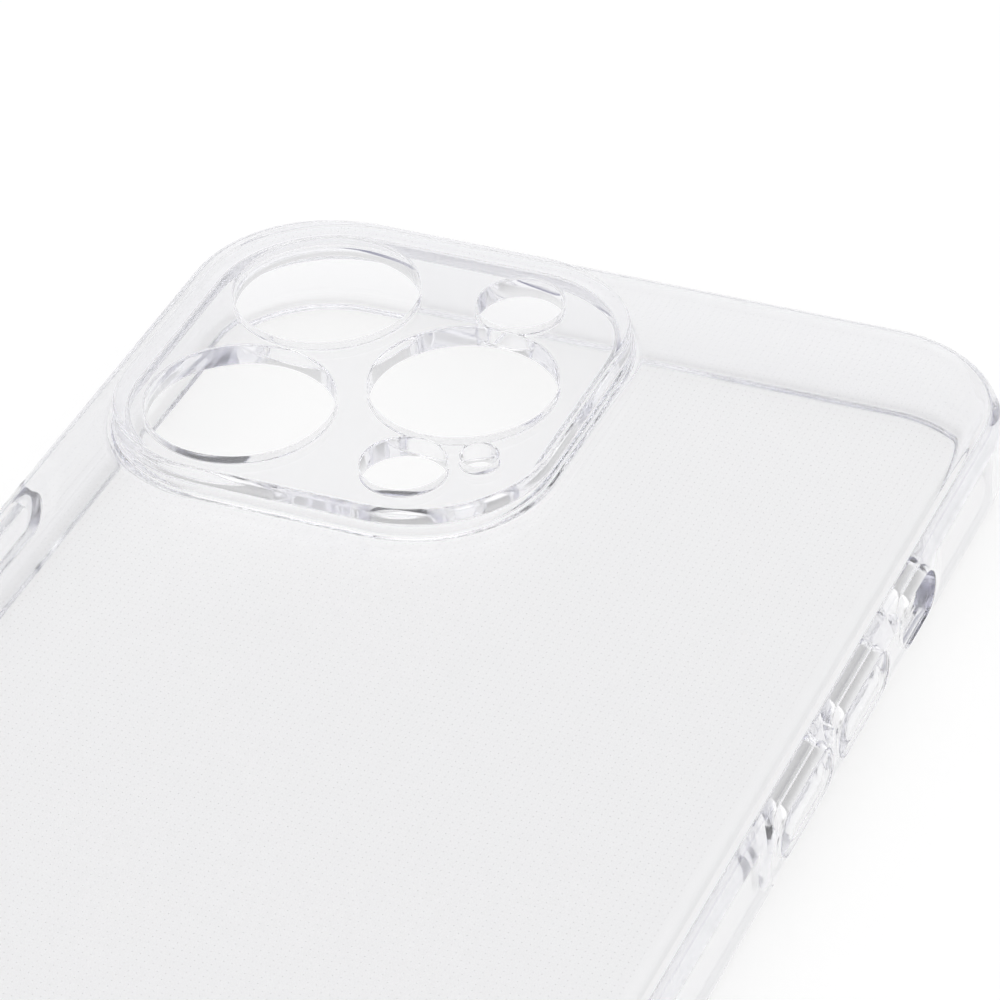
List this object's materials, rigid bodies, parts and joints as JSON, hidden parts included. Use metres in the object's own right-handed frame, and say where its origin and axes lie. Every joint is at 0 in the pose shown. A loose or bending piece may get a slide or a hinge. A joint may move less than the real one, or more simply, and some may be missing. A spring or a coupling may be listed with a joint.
{
  "type": "phone case",
  "caption": "Clear flexible phone case with a raised camera guard, a front lip, flexing side button covers and openings for the lenses, mute switch and charging port.",
  "frame": {"origin": "centre of the case's outline, on the plane that the front lip rests on", "axes": "+Z out of the back of the case, towards the camera guard; +Y towards the top edge; +X to the right, seen from the back"},
  "size_m": [0.0754, 0.1492, 0.0121],
  "materials": {
    "clear_tpu": "clear flexible plastic, glossy, with a faint violet tint in its edges",
    "clear_tpu_guard": "the same clear plastic, thicker",
    "clear_tpu_keys": "the same clear plastic, thicker at the button covers"
  },
  "bodies": {
    "case": {"back_panel": "clear_tpu", "camera_guard": "clear_tpu_guard", "front_lip": "clear_tpu", "top_wall": "clear_tpu", "bottom_wall": "clear_tpu", "left_wall": "clear_tpu", "right_wall": "clear_tpu", "top_left_corner": "clear_tpu", "top_right_corner": "clear_tpu", "bottom_left_corner": "clear_tpu", "bottom_right_corner": "clear_tpu", "power_button_web": "clear_tpu", "volume_up_web": "clear_tpu", "volume_down_web": "clear_tpu"},
    "power_button": {"power_button_cover": "clear_tpu_keys"},
    "volume_up": {"volume_up_cover": "clear_tpu_keys"},
    "volume_down": {"volume_down_cover": "clear_tpu_keys"}
  },
  "joints": [
    {"name": "power_button_press", "type": "slide", "parent": "case", "child": "power_button", "axis": [1, 0, 0], "range_m": [0, 0.00035], "stiffness_N_per_m": 1500},
    {"name": "volume_up_press", "type": "slide", "parent": "case", "child": "volume_up", "axis": [-1, 0, 0], "range_m": [0, 0.00035], "stiffness_N_per_m": 1500},
    {"name": "volume_down_press", "type": "slide", "parent": "case", "child": "volume_down", "axis": [-1, 0, 0], "range_m": [0, 0.00035], "stiffness_N_per_m": 1500}
  ]
}
